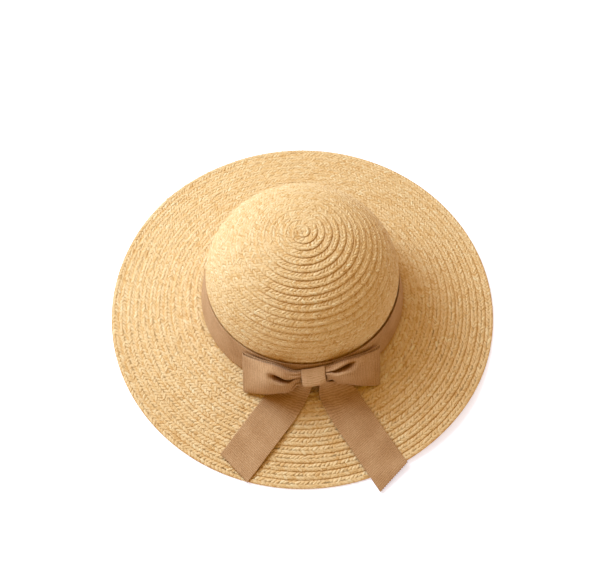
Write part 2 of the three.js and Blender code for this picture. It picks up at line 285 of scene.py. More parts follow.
def addLight():
    for lamp in lamps:
        shine = bpy.data.lights.new(lamp["name"], "AREA")
        shine.shape = "DISK"
        shine.size = lamp["size"] * mm
        shine.energy = lamp["strength"] * np.pi * (lamp["distance"] * mm) ** 2
        shine.color = paint(*lamp["colour"])[:3]
        stand = bpy.data.objects.new(lamp["name"], shine)
        turn, rise = np.radians([lamp["azimuth"], lamp["elevation"]])
        towards = Vector((np.cos(turn) * np.cos(rise), np.sin(turn) * np.cos(rise), np.sin(rise)))
        stand.location = towards * lamp["distance"] * mm
        stand.rotation_euler = towards.to_track_quat("Z", "Y").to_euler()
        bpy.context.collection.objects.link(stand)
    sky = bpy.data.worlds.new("sky")
    sky.use_nodes = True
    nodes, links = sky.node_tree.nodes, sky.node_tree.links
    even = nodes["Background"]
    even.inputs["Color"].default_value = paint(*fill["colour"])
    even.inputs["Strength"].default_value = fill["strength"]
    # Above the floor's edge the camera sees plain white.
    behind = nodes.new("ShaderNodeBackground")
    behind.inputs["Color"].default_value = (1, 1, 1, 1)
    choice = nodes.new("ShaderNodeMixShader")
    links.new(nodes.new("ShaderNodeLightPath").outputs["Is Camera Ray"], choice.inputs[0])
    links.new(even.outputs[0], choice.inputs[1])
    links.new(behind.outputs[0], choice.inputs[2])
    links.new(choice.outputs[0], nodes["World Output"].inputs["Surface"])
    bpy.context.scene.world = sky
    bpy.context.scene.view_settings.view_transform = "Standard"


def addFloor():
    half = ground["size"] / 2
    corners = [(-half, -half, 0), (half, -half, 0), (half, half, 0), (-half, half, 0)]
    floor = putMesh("floor", corners, [(0, 1, 2, 3)])
    finish = Finish("floor")
    finish.set(Base_Color=paint(*ground["colour"]), Roughness=0.9)
    finish.set(Emission_Color=paint(*ground["glowColour"]), Emission_Strength=ground["glow"])
    floor.data.materials.append(finish.material)


# Straw finish: each straw has its own tone and its own streaks along its fibres.
strawLook = {
    "deep": (206, 154, 90),
    "golden": (231, 189, 128),
    "light": (243, 209, 156),
    "cream": (250, 229, 184),
    # gap: painted shade, the darker tone the braid pattern takes at its straws' edges and row seams
    "gap": (196, 144, 82),
    "alongFibre": 0.22,    # streaks for each millimetre along a straw, and across it
    "acrossFibre": 5.5,
    "ownStreaks": 91,
    "fibreShare": 0.4,
    "fibreBump": 0.22,
    "patchSize": 14,
    "patchShare": 0.25,
}


def strawTones(finish, tone):
    look = strawLook
    stops = [(0.0, paint(*look["deep"])), (0.3, paint(*look["golden"])),
             (0.65, paint(*look["light"])), (1.0, paint(*look["cream"]))]
    return finish.ramp(tone, stops)


# The strand values are the length along a straw and across it, in millimetres, and its tone.
def strawFinish():
    finish = Finish("straw")
    look = strawLook
    strand = finish.node("Attribute", {"attribute_name": "strand"}, {}, output=1)
    lengthwise, across, tone = finish.parts(strand)
    place = finish.node("TexCoord", {}, {}, output=3)
    patches = finish.noise(place, look["patchSize"], detail=2)
    threads = finish.vector(lengthwise * look["alongFibre"], across * look["acrossFibre"],
                            tone * look["ownStreaks"])
    fibre = finish.noise(threads, 1, detail=3, roughness=0.6)
    shade = tone + (fibre - 0.5) * look["fibreShare"] + (patches - 0.5) * look["patchShare"]
    colour = strawTones(finish, shade)
    bump = finish.bump(fibre, look["fibreBump"])
    finish.set(Base_Color=colour, Roughness=0.55 + fibre * 0.2, Normal=bump)
    finish.set(Specular_IOR_Level=0.35)
    return finish.material


# The same braid seen in the gaps, inside and below, where it is a pattern over the rows:
# u counts straws along a row and v counts rows. Its colour holds painted shade at the edges of
# the pattern's straws and, on the backing, along the row seams.
braidLook = {
    "slant": 1.1,
    "roundness": 2.4,
    "seam": (0.5, 0.42),   # off a row's middle, as a share of its pitch
    "alongFibre": 6,
    "acrossFibre": 24,
    "ownTone": 0.6,
    "fibreShare": 0.4,
    # how far the painted shade darkens the pattern towards the gap colour
    "paintedShadeShare": 0.4,
    "bump": 0.3,
}


def braidFinish(name, seamed):
    finish = Finish(name)
    look = braidLook
    uv = finish.node("UVMap", {"uv_map": "pattern"}, {})
    u, v, _ = finish.parts(uv)
    row = v.floor()
    across = v.fraction()
    slanted = u + across * look["slant"] + row * braid["rowShift"]
    straw = slanted.floor()
    edge = (slanted.fraction() - 0.5).size() * 2
    own = finish.node("TexWhiteNoise", {}, {"Vector": finish.vector(straw, row, 0.5)})
    full = 1 - edge ** look["roundness"]
    seam = 1 - (1 - (across - 0.5).size().between(*look["seam"])) * seamed
    threads = finish.vector(u * look["alongFibre"], v * look["acrossFibre"], 0.0)
    fibre = finish.noise(threads, 1, detail=2)
    tone = own * look["ownTone"] + (fibre - 0.5) * look["fibreShare"] + 0.1
    colour = strawTones(finish, tone)
    # Painted shade: the colour darkens towards gap at the pattern straws' edges and, where seamed, at
    # the row seams.
    depth = finish.blend((1 - full * seam) * look["paintedShadeShare"], colour, paint(*strawLook["gap"]))
    height = full * seam + fibre * 0.2
    finish.set(Base_Color=depth, Roughness=0.7, Normal=finish.bump(height, look["bump"]))
    finish.set(Specular_IOR_Level=0.2)
    return finish.material


# Braid: rows lie from an inner to an outer edge, and each laps over the next one.
braid = {
    "across": np.array([0, 0.06, 0.16, 0.34, 0.58, 0.8, 0.96, 1, 1]),
    "rise": np.array([-0.05, 0.02, 0.2, 0.42, 0.68, 0.9, 1, 0.95, -0.05]),
    "low": -0.8,
    "high": 0.15,
    "rowShift": 0.37,    # how many straws a row is turned against the one inside it
    "shortest": 0.55,    # rows narrower than this share of the pitch hold no straws
    "rings": 5,
    "sides": 6,
}

# The two columns of straws in a row. across is a share of the row, slant is off the row's
# line, and spacing, length, width and thickness are shares of the row's pitch.
strawColumns = [
    {"name": "Straws", "across": 0.33, "slant": 32, "spacing": 0.5, "length": 0.84, "width": 0.4,
     "thickness": 0.08, "arch": 0.06, "lift": -0.12},
    {"name": "Edging", "across": 0.74, "slant": -25, "spacing": 0.5, "length": 0.74, "width": 0.42,
     "thickness": 0.08, "arch": 0.08, "lift": -0.12},
]

# How far each straw strays from its column's values, as one standard deviation, and the few
# straws that have sprung out of line.
stray = {"place": 0.06, "run": 0.03, "slant": 8, "length": 0.11, "width": 0.09, "thickness": 0.1,
         "arch": 0.25, "lift": 0.05, "tone": 0.12}
sprung = {"share": 0.015, "slant": -15, "length": 0.2, "lift": 0.1}
middleTone = 0.55


# The height over a row: straight lines between the places of the braid's section.
def rowRise(across):
    share = np.interp(across, braid["across"][:-1], braid["rise"][:-1])
    return lerp(braid["low"], braid["high"], share)


# A slow waver for each of several edges: a sum of three sines of the azimuth, the higher ones
# smaller, each with a phase of the edge's own.
def waver(edges, azimuth):
    wave = np.zeros(np.broadcast_shapes(edges.shape, azimuth.shape))
    for turns in (3, 5, 11):
        wave = wave + np.sin(turns * azimuth + edges * (1.7 * turns + 0.9)) / turns
    return wave


# A shell of braid: seen in the gaps outside, and backing on the faces that are marked as inside.
def dressShell(shell, inside):
    shell.data.polygons.foreach_set("material_index", inside.astype(np.int32))
    closeMesh(shell)
    shell.data.materials.append(gaps)
    shell.data.materials.append(backing)


# One straw: rings of points round a flat spindle with a pole at each end, as full at a station as
# the square root of its sine. Its length and its width run from -1 to 1.
def strawShape():
    rings, sides = braid["rings"], braid["sides"]
    station = np.pi * np.arange(1, rings + 1) / (rings + 1)
    turn = 2 * np.pi * np.arange(sides) / sides + np.pi / 2
    full = np.sin(station) ** 0.5
    lengthwise = np.repeat(-np.cos(station), sides)
    across = (full[:, None] * np.cos(turn)).reshape(-1)
    up = (full[:, None] * np.sin(turn)).reshape(-1)
    lengthwise = np.concatenate([lengthwise, [-1, 1]])
    across = np.concatenate([across, [0, 0]])
    up = np.concatenate([up, [0, 0]])
    quads = gridQuads(rings, sides, columnRing=True)[:, ::-1]
    side = np.arange(sides)
    beside = (side + 1) % sides
    first, last = rings * sides, rings * sides + 1
    end = (rings - 1) * sides
    start = np.stack([np.full(sides, first), side, beside], -1)
    finish = np.stack([np.full(sides, last), end + beside, end + side], -1)
    return lengthwise, across, up, quads, np.concatenate([start, finish])


# Lays straws on a surface: place turns a run, an azimuth and a height over the surface into a
# point, and speed gives millimetres for each radian. lay holds an array for each of a straw's
# own values, and inner and outer are the edges of the row that it lies in.
def layStraws(name, place, speed, lay):
    lengthwise, across, up, quads, triangles = strawShape()
    count = len(lay["run"])
    value = {key: np.asarray(array)[:, None] for key, array in lay.items()}
    slant = np.radians(value["slant"])
    along = lengthwise * value["length"] / 2
    aside = across * value["width"] / 2
    alongRow = along * np.cos(slant) - aside * np.sin(slant)
    acrossRow = -along * np.sin(slant) - aside * np.cos(slant)
    run = value["run"] + acrossRow
    azimuth = value["azimuth"] + alongRow / speed(value["run"], value["azimuth"])
    share = (run - value["inner"]) / (value["outer"] - value["inner"])
    arch = -value["arch"] * lengthwise ** 2 + value["lift"]
    height = rowRise(share) * value["relief"] + arch + up * value["thickness"] / 2
    points = place(run, azimuth, height)
    size = len(lengthwise)
    first = (np.arange(count) * size)[:, None, None]
    strand = np.stack(np.broadcast_arrays(along + value["tone"] * 50, aside, value["tone"]), -1)
    piece = putMesh(name, points, (quads[None] + first).reshape(-1, 4),
                    (triangles[None] + first).reshape(-1, 3), strand=strand)
    piece.data.materials.append(straw)
    return piece


def strayed(key, count):
    return chance.normal(0, stray[key], count)


# A column of straws over all rows, with each straw a little different. rowEdges gives a row's
# inner and outer edge at an azimuth, and circle a row's length round the hat.
def strawColumn(column, rows, pitch, rowEdges, circle):
    azimuths, numbers = [], []
    for row in range(rows):
        count = max(3, round(circle(row, column["across"]) / (column["spacing"] * pitch)))
        step = 2 * np.pi / count
        places = np.arange(count) + braid["rowShift"] * row + strayed("place", count)
        azimuths.append(step * places)
        numbers.append(np.full(count, row))
    azimuth = np.concatenate(azimuths) % (2 * np.pi)
    number = np.concatenate(numbers)
    inner, outer = rowEdges(number, azimuth)
    count = len(azimuth)
    loose = chance.random(count) < sprung["share"]
    lay = {
        "azimuth": azimuth,
        "inner": inner,
        "outer": np.maximum(outer, inner + 0.3 * pitch),
        "run": lerp(inner, outer, column["across"] + strayed("run", count)),
        "slant": column["slant"] + strayed("slant", count) + sprung["slant"] * loose,
        "length": pitch * column["length"] * (1 + strayed("length", count) + sprung["length"] * loose),
        "width": pitch * column["width"] * (1 + strayed("width", count)),
        "thickness": pitch * column["thickness"] * (1 + strayed("thickness", count)),
        "arch": column["arch"] * (1 + strayed("arch", count)),
        "lift": column["lift"] + strayed("lift", count) + sprung["lift"] * loose,
        "tone": np.clip(middleTone + strayed("tone", count), 0.02, 0.98),
        "relief": np.ones(count),
    }
    return {key: array[outer - inner > braid["shortest"] * pitch] for key, array in lay.items()}


# Crown: a dome that is a quarter ellipse in section, over a side that leans out to the foot.
crown = {
    "width": 183,
    "length": 190,
    "flare": 6.5,
    "sideHeight": 32,
    "domeHeight": 70,
    "wall": 2,
    "clearance": 0.3,
    "rowPitch": 6.7,
    "hiddenRun": 9,      # how far the spiral goes on behind the band
    "swell": 0.7,        # the braid over the plain wall
    "wobble": 0.25,
    "wobbleRates": (2.3, 7.9, 17.3),
    "fade": 5,           # over this run the braid's relief ends at the dome's foot
    "strawEnd": 2.2,     # the straws end this far above the dome's foot
    "steps": 168,
    "domeSteps": 240,
    "sideSteps": 40,
    "hiddenRings": 5,    # rings of points below the spiral's end, and up the inside
    "insideRings": 44,
    "insideStraws": 60,
}
brim = {
    "width": 380,
    "length": 391,
    "drop": 16,
    "bend": 1.3,
    "rimRow": 8,
    "rows": 12,
    "wall": 2,
    "lap": 0.6,
    "edgeStraws": 0.7,   # how far the straws stand out past the last row
    "wobble": 0.3,
    "relief": 0.85,      # the brim's rows are pressed flatter than the crown's
    "steps": 252,
    "sagSlope": 0.1,
    "lifts": [
        {"azimuth": -42, "spread": 34, "height": 0.28},
        {"azimuth": 146, "spread": 30, "height": 0.125},
    ],
}
footHeight = brim["drop"] + brim["wall"]


# The crown's profile as arrays down from the tip: sine and cosine of an angle for the dome, then a
# straight side, with the run along it and the normal's outward and upward part.
def crownProfile(inset):
    halfWidth = crown["width"] / 2 - inset
    halfLength = crown["length"] / 2 - inset
    sideTop = footHeight + crown["sideHeight"]
    angle = np.linspace(0, np.pi / 2, crown["domeSteps"])
    lean = np.linspace(0, 1, crown["sideSteps"])[1:]
    wide = np.concatenate([halfWidth * np.sin(angle), halfWidth + crown["flare"] * lean])
    long = np.concatenate([halfLength * np.sin(angle), halfLength + crown["flare"] * lean])
    height = np.concatenate([sideTop + (crown["domeHeight"] - inset) * np.cos(angle),
                             lerp(sideTop, footHeight + crown["clearance"], lean)])
    run = np.concatenate([[0], np.cumsum(np.hypot(np.diff(wide), np.diff(height)))])
    outward = -np.gradient(height, run)
    upward = np.gradient(wide, run)
    return {"run": run, "wide": wide, "long": long, "height": height, "outward": outward,
            "upward": upward}


outsideProfile = crownProfile(0)
insideProfile = crownProfile(crown["wall"])
domeRun = outsideProfile["run"][crown["domeSteps"] - 1]


# A point on the crown: the profile's half sizes times cosine and sine of the azimuth, moved out
# along the profile's normal by what is raised.
def onCrown(run, azimuth, raised, profile=outsideProfile):
    read = {key: np.interp(run, profile["run"], profile[key])
            for key in ("wide", "long", "height", "outward", "upward")}
    wide = read["wide"] + raised * read["outward"]
    long = read["long"] + raised * read["outward"]
    height = read["height"] + raised * read["upward"]
    x, y, z = np.broadcast_arrays(wide * np.cos(azimuth), long * np.sin(azimuth), height)
    return np.stack([x, y, z], -1)


# Millimetres for each radian round the crown: the length of the ellipse's derivative.
def crownSpeed(run, azimuth):
    wide = np.interp(run, outsideProfile["run"], outsideProfile["wide"])
    long = np.interp(run, outsideProfile["run"], outsideProfile["long"])
    return np.maximum(np.hypot(wide * np.sin(azimuth), long * np.cos(azimuth)), 1.5)


# The crown's braid is one spiral: its edge lies one pitch further out with each turn, plus a sum
# of sines. It ends on a ring behind the band.
spiralEnd = domeRun + crown["hiddenRun"]
crownRows = int(np.ceil(spiralEnd / crown["rowPitch"])) + 1


def spiralEdge(turns):
    run = crown["rowPitch"] * turns
    wave = sum(np.sin(rate * turns + 2 * rate) for rate in crown["wobbleRates"])
    wave = wave * crown["wobble"] / 2
    steady = smooth(0.5, 3, turns) * smooth(0, 9, spiralEnd - run)
    return np.clip(run + wave * steady, 0, spiralEnd)


# A row's inner edge is the spiral a whole turn before its outer one.
def crownEdges(row, azimuth):
    turns = row + azimuth / (2 * np.pi)
    return spiralEdge(turns - 1), spiralEdge(turns)


def crownRelief(run):
    return 1 - smooth(domeRun - crown["fade"], domeRun, run)


# The crown's surface: each row runs from the spiral's edge one turn back to its edge now, raised by
# the braid's section.
def makeCrown():
    steps = crown["steps"]
    azimuth = np.linspace(0, 2 * np.pi, steps + 1)
    row = np.arange(crownRows)[:, None]
    inner, outer = crownEdges(row, azimuth[None])
    across = braid["across"]
    run = lerp(inner[..., None], outer[..., None], across)
    rise = lerp(braid["low"], braid["high"], braid["rise"])
    narrow = smooth(0, crown["rowPitch"] * 0.6, outer - inner)[..., None]
    raised = (rise * narrow + crown["swell"]) * crownRelief(run)
    points = onCrown(run, azimuth[None, :, None], raised)
    pointSets = [points.reshape(-1, 3)]
    perRow = (steps + 1) * len(across)
    quads = gridQuads(steps + 1, len(across))
    quadSets = [(quads[None] + (np.arange(crownRows) * perRow)[:, None, None]).reshape(-1, 4)]
    turned = azimuth / (2 * np.pi)
    uvSets = []
    for number in range(crownRows):
        count = round(crownCircle(number, 0.5) / (strawColumns[0]["spacing"] * crown["rowPitch"]))
        uvSets.append(gridUv(turned[:, None] * count, number + across[None] * 0.999))
    # From the spiral's end down the side, under the foot, and up the inside to its pole.
    down = np.linspace(spiralEnd, outsideProfile["run"][-1], crown["hiddenRings"])
    up = np.linspace(insideProfile["run"][-1], 0, crown["insideRings"])
    wall = np.concatenate([onCrown(down[None], azimuth[:, None], 0.0),
                           onCrown(up[None], azimuth[:, None], 0.0, insideProfile)], 1)
    pointSets.append(wall.reshape(-1, 3))
    quadSets.append(gridQuads(*wall.shape[:2]) + crownRows * perRow)
    lining = np.concatenate([down, up]) / crown["rowPitch"]
    uvSets.append(gridUv(turned[:, None] * crown["insideStraws"], lining[None]))
    shell = putMesh("crownShell", np.concatenate(pointSets), np.concatenate(quadSets),
                    uv=np.concatenate(uvSets))
    dressShell(shell, np.repeat([0, 1], [len(quadSets[0]), len(quadSets[1])]))
    pieces = [shell]
    for column in strawColumns:
        lay = strawColumn(column, crownRows, crown["rowPitch"], crownEdges, crownCircle)
        seen = lay["run"] < domeRun - crown["strawEnd"]
        lay["lift"] = lay["lift"] + crown["swell"] * crownRelief(lay["run"])
        lay["relief"] = crownRelief(lay["run"])
        lay = {key: array[seen] for key, array in lay.items()}
        pieces.append(layStraws("crown" + column["name"], onCrown, crownSpeed, lay))
    return pieces


# A row's length round the crown: pi times the sum of its half sizes, which is near enough.
def crownCircle(row, across):
    run = np.clip(crown["rowPitch"] * (row + across - 0.5), 1, None)
    wide = np.interp(run, outsideProfile["run"], outsideProfile["wide"])
    long = np.interp(run, outsideProfile["run"], outsideProfile["long"])
    return np.pi * (wide + long)


# Brim: it curves down from the crown's foot to a level outermost row. A run is the distance
# out from its inner edge, which lies under the crown's wall.
innerHalfWidth = crown["width"] / 2 + crown["flare"] - brim["wall"]
innerHalfLength = crown["length"] / 2 + crown["flare"] - brim["wall"]
brimRun = brim["width"] / 2 - innerHalfWidth
bandRun = brim["wall"] + 0.5 + 1   # the band's clearance and its thickness


# The rim's lift: for each lift, a squared cosine of the way from its middle to its end.
def rimLift(azimuth):
    height = np.zeros(np.shape(azimuth))
    for lift in brim["lifts"]:
        turn = azimuth - np.radians(lift["azimuth"])
        away = np.abs(np.arctan2(np.sin(turn), np.cos(turn)))
        share = np.minimum(1, away / np.radians(lift["spread"]))
        height = height + lift["height"] * brim["drop"] * np.cos(share * np.pi / 2) ** 2
    return height


# The underside's height: the drop times a power of what is left of the slope, plus the rim's lift
# by the square of the run.
def brimUnder(run, azimuth):
    left = np.maximum(0, 1 - run / (brimRun - brim["rimRow"]))
    return brim["drop"] * left ** brim["bend"] + rimLift(azimuth) * (run / brimRun) ** 2


# A point on the brim: an ellipse that grows with the run, over the underside's height.
def onBrim(run, azimuth, raised):
    share = run / brimRun
    x = lerp(innerHalfWidth, brim["width"] / 2, share) * np.cos(azimuth)
    y = lerp(innerHalfLength, brim["length"] / 2, share) * np.sin(azimuth)
    z = brimUnder(run, azimuth) + brim["wall"] + raised
    return np.stack(np.broadcast_arrays(x, y, z), -1)


def brimSpeed(run, azimuth):
    wide = lerp(innerHalfWidth, brim["width"] / 2, run / brimRun)
    long = lerp(innerHalfLength, brim["length"] / 2, run / brimRun)
    return np.hypot(wide * np.sin(azimuth), long * np.cos(azimuth))


# The height of the straw's top at a point seen from above, which the ribbon lies on. The run is
# found in a few rounds, each by how far the point lies off the last one's ellipse.
def brimTop(x, y):
    run = np.full(np.shape(x), 30.0)
    for _ in range(12):
        wide = lerp(innerHalfWidth, brim["width"] / 2, run / brimRun)
        long = lerp(innerHalfLength, brim["length"] / 2, run / brimRun)
        run = run + (np.hypot(x / wide, y / long) - 1) * wide
    azimuth = np.arctan2(y / brim["length"], x / brim["width"])
    sag = brim["sagSlope"] * np.maximum(0, run - brimRun)
    return brimUnder(np.clip(run, 0, brimRun), azimuth) + brim["wall"] + brim["lap"] - sag


brimPitch = (brimRun - brim["edgeStraws"] - bandRun) / brim["rows"]


# A row's edges waver, but the first and the last edge keep the brim's own line.
def brimEdges(row, azimuth):
    edges = []
    for edge in (row, row + 1):
        steady = np.where((edge > 0) & (edge < brim["rows"]), brim["wobble"], 0)
        edges.append(bandRun + brimPitch * edge + waver(np.asarray(edge) * 1.0, azimuth) * steady)
    return edges


def brimCircle(row, across):
    run = bandRun + brimPitch * (row + across)
    return np.pi * (innerHalfWidth + innerHalfLength + 2 * run)


# The brim's section goes round as one ring: under the band, over the rows, round the rim and back
# under each row.
def makeBrim():
    steps = brim["steps"]
    azimuth = np.linspace(0, 2 * np.pi, steps + 1)[:, None]
    wall = brim["wall"]
    zero = np.zeros_like(azimuth)
    runs = [zero, zero, zero + bandRun * 0.6]
    raised = [zero - wall, zero, zero]
    rows = [zero, zero, zero]
    for row in range(brim["rows"]):
        inner, outer = brimEdges(np.full_like(azimuth, row), azimuth)
        runs.append(lerp(inner, outer, braid["across"][None, :-1]))
        rise = lerp(braid["low"], braid["high"], braid["rise"][None, :-1])
        raised.append(rise * brim["relief"] + zero)
        rows.append(row + braid["across"][None, :-1] * 0.999 + zero)
    runs.append(bandRun + brimPitch * brim["rows"] + np.array([[0.25, 0.35, 0.25, 0]]) + zero)
    raised.append(np.array([[-0.3, -1, -1.6, -wall]]) + zero)
    rows.append(np.full((steps + 1, 4), brim["rows"] - 0.2))
    for row in reversed(range(brim["rows"])):
        inner, outer = brimEdges(np.full_like(azimuth, row), azimuth)
        share = np.array([[0.95, 0.75, 0.5, 0.25, 0.05]])
        runs.append(lerp(inner, outer, share))
        raised.append(np.array([[0.12, 0, 0, 0, 0.12]]) - wall + zero)
        rows.append(row + share + zero)
    topColumns = sum(part.shape[1] for part in runs[:-brim["rows"]])
    runs, raised, rows = (np.concatenate(part, 1) for part in (runs, raised, rows))
    points = onBrim(runs, azimuth, raised)[:-1]
    quads = gridQuads(*points.shape[:2], rowRing=True, columnRing=True)
    count = np.round(brimCircle(rows.mean(0).round(), 0.5) / (strawColumns[0]["spacing"] * brimPitch))
    u = azimuth / (2 * np.pi) * count[None]
    u, rows = (np.concatenate([part, part[:, :1]], 1) for part in (u, rows))
    shell = putMesh("brimShell", points, quads, uv=gridUv(u, rows))
    dressShell(shell, np.tile(np.arange(points.shape[1]) >= topColumns, steps))
    pieces = [shell]
    for column in strawColumns:
        lay = strawColumn(column, brim["rows"], brimPitch, brimEdges, brimCircle)
        lay["relief"] = lay["relief"] * brim["relief"]
        pieces.append(layStraws("brim" + column["name"], onBrim, brimSpeed, lay))
    return pieces


# Ribbon: one camel ribbon makes the band, the bow and its ends.
ribbon = {"width": 36, "thickness": 0.8, "cadThickness": 1, "clearance": 0.3}
band = {"height": 32, "gape": 1.4, "gapeAzimuth": -55, "clearance": 0.5, "steps": 360, "columns": 24}

ribbonLook = {
    "dark": (158, 113, 72),
    "middle": (196, 152, 109),
    "light": (224, 186, 146),
    "ribPitch": 1.6,
    "ribTone": 0.34,
    "ribHeight": 0.4,
    "ribDrift": 9,
    "knotPaintedLight": 0.3,   # painted light: the knot's copy of the cloth is a little lighter, standing in for light on it
    "bump": 0.4,
}
# Yarn, thick places and patches: noise for each millimetre along and across, and its share in the
# tone and in the height.
ribbonLayers = [
    {"along": 0.9, "across": 0.7, "place": 3, "detail": 4, "roughness": 0.8, "tone": 1.4, "height": 0.6},
    {"along": 0.8, "across": 5, "place": 9, "detail": 2, "roughness": 0.5, "tone": 0.3, "height": 0.3},
    {"along": 0.05, "across": 0.05, "place": 5, "detail": 3, "roughness": 0.5, "tone": 0.7, "height": 0},
]


# Fine ribs run across the ribbon, and the yarn between them is a little uneven. u is the
# length along the ribbon and v the length across it, in millimetres.
def ribbonFinish(name, lift):
    finish = Finish(name)
    look = ribbonLook
    uv = finish.node("UVMap", {"uv_map": "pattern"}, {})
    u, v, _ = finish.parts(uv)
    drift = finish.noise(finish.vector(u * 0.25, v * 0.12, 0.0), 1, detail=2)
    rib = (u * (2 * np.pi / look["ribPitch"]) + drift * look["ribDrift"]).wave() * 0.5 + 0.5
    # lift lightens the whole tone; for the knot's copy it is painted light.
    tone = 0.5 + lift + (rib - 0.5) * look["ribTone"]
    height = rib * look["ribHeight"]
    for layer in ribbonLayers:
        place = finish.vector(u * layer["along"], v * layer["across"], layer["place"])
        noise = finish.noise(place, 1, layer["detail"], layer["roughness"])
        tone = tone + (noise - 0.5) * layer["tone"]
        height = height + noise * layer["height"]
    colour = finish.ramp(tone, [(0.0, paint(*look["dark"])), (0.5, paint(*look["middle"])),
                                (1.0, paint(*look["light"]))])
    finish.set(Base_Color=colour, Roughness=0.85, Normal=finish.bump(height, look["bump"]))
    finish.set(Specular_IOR_Level=0.2, Sheen_Weight=0.25, Sheen_Roughness=0.5)
    finish.set(Sheen_Tint=paint(235, 205, 170))
    return finish.material


# Half of the crown's size at the band's outer face: it follows the side and gapes at its top
# edge, most of all to the right of the bow.
def bandHalf(crownSize, height, azimuth):
    share = (height - footHeight - ribbon["clearance"]) / band["height"]
    lean = crown["flare"] * (1 - (height - footHeight) / crown["sideHeight"])
    near = (1 + np.cos(azimuth - np.radians(band["gapeAzimuth"]))) / 2
    gape = band["gape"] * near ** 4 * np.maximum(0, share) ** 2
    return crownSize / 2 + lean + band["clearance"] + ribbon["cadThickness"] + gape


# The band: an ellipse at each height, on the middle of the ribbon's thickness.
def makeBand():
    azimuth = np.linspace(0, 2 * np.pi, band["steps"] + 1)[:-1, None]
    share = np.linspace(0, 1, band["columns"] + 1)[None]
    height = footHeight + ribbon["clearance"] + band["height"] * share
    half = ribbon["cadThickness"] / 2
    x = (bandHalf(crown["width"], height, azimuth) - half) * np.cos(azimuth)
    y = (bandHalf(crown["length"], height, azimuth) - half) * np.sin(azimuth)
    middle = np.stack(np.broadcast_arrays(x, y, height), -1)
    around = np.pi * (crown["width"] + crown["length"]) / 2
    u = around * np.arange(band["steps"]) / band["steps"]
    return putSheet("hatBand", middle, u, band["height"] * share[0], ribbonCloth, ring=True)


# A point in front of the band: x across, its height, and its distance out from the band.
def beforeBand(x, height, out):
    halfWidth = bandHalf(crown["width"], height, 0)
    azimuth = -np.arccos(np.clip(x / halfWidth, -0.95, 0.95))
    y = bandHalf(crown["length"], height, azimuth) * np.sin(azimuth) - out
    return np.stack(np.broadcast_arrays(x, y, height), -1)


# Bow: one ring of ribbon, pinched in the middle and flattened into two loops. A fold is a
# valley in the loop's front: v is its place across the ribbon, at the knot and at its far end.
bow = {
    "tilt": 0.17,
    "tiltFades": (15, 40),
    "offset": 10.6,
    "leftReach": 65,
    "rightReach": 61,
    "fold": 3,
    "puff": 2,
    "plyGap": 0.5,
    "pleat": 0.8,
    "plySteps": 96,
    "foldSteps": 12,
    "columns": 36,
}
pinch = {"reach": 0.26, "top": 0.88, "topOut": 0.11, "bottom": 0.61, "bottomOut": 0.275}
leftSections = [
    pinch,
    {"reach": 0.45, "top": 0.98, "topOut": 0.085, "bottom": 0.1, "bottomOut": 0.2},
    {"reach": 0.66, "top": 0.98, "topOut": 0.09, "bottom": 0, "bottomOut": 0.34},
    {"reach": 1, "top": 0.86, "topOut": 0.13, "bottom": 0, "bottomOut": 0.58},
]
rightSections = [
    pinch,
    {"reach": 0.45, "top": 0.93, "topOut": 0.09, "bottom": 0.1, "bottomOut": 0.14},
    {"reach": 0.66, "top": 0.88, "topOut": 0.1, "bottom": 0, "bottomOut": 0.34},
    {"reach": 1, "top": 0.68, "topOut": 0.24, "bottom": 0, "bottomOut": 0.78},
]
lobes = {-1: 22, 1: 20}   # how far the front of the left and the right loop puffs out
puffShape = {
    "power": 0.45,
    "starts": (0.15, 0.45),       # between which shares of the loop's length the puff grows
    "ends": (0.55, 1),
    "gather": 2.6,
    "gatherStarts": (0.15, 0.22),
    "gatherEnds": (0.3, 0.6),
    "foldFade": 0.25,
    "foldAbove": 0.6,             # a fold is narrower above its valley and wider below
    "foldBelow": 1.25,
    "forward": 0.62,
    "upward": 0.78,
}
folds = {
    -1: [
        {"v": (0.36, 0.28), "reach": 0.68, "depth": 1.1, "width": (0.06, 0.12)},
        {"v": (0.18, 0.1), "reach": 0.4, "depth": 0.5, "width": (0.05, 0.04)},
        {"v": (0.8, 0.86), "reach": 0.44, "depth": 0.6, "width": (0.07, 0.05)},
    ],
    1: [
        {"v": (0.3, 0.12), "reach": 0.7, "depth": 1.1, "width": (0.06, 0.13)},
        {"v": (0.1, 0.05), "reach": 0.44, "depth": 0.6, "width": (0.06, 0.05)},
    ],
}
knot = {"width": 21, "girth": 54, "bulge": 4.2, "roundness": 0.8, "around": 96, "columns": 28}


# A column of a table at many places, as a smooth curve through its rows.
def alongRows(rows, column, reach):
    places = np.array([row["reach"] for row in rows])
    values = np.array([row[column] for row in rows])
    reach = np.clip(reach, places[0], places[-1])
    row = np.clip(np.searchsorted(places, reach, side="left") - 1, 0, len(rows) - 2)
    before = np.maximum(row - 1, 0)
    after = np.minimum(row + 2, len(rows) - 1)
    span = places[row + 1] - places[row]
    share = (reach - places[row]) / span
    slopeIn = (values[row + 1] - values[before]) / (places[row + 1] - places[before]) * span
    slopeOut = (values[after] - values[row]) / (places[after] - places[row]) * span
    square, cube = share ** 2, share ** 3
    return ((2 * cube - 3 * square + 1) * values[row] + (cube - 2 * square + share) * slopeIn
            + (3 * square - 2 * cube) * values[row + 1] + (cube - square) * slopeOut)


# The whole middle of the bow is turned a little, so that its right side is higher.
def tiltBow(points):
    x, height = points[..., 0] - bow["offset"], points[..., 2]
    middle = (knotTop + knotBottom) / 2
    start, end = bow["tiltFades"]
    tilt = bow["tilt"] * (1 - smooth(start, end, np.abs(x))) * smooth(footHeight, knotBottom, height)
    points = points.copy()
    points[..., 0] -= tilt * (height - middle)
    points[..., 2] += tilt * x
    return points


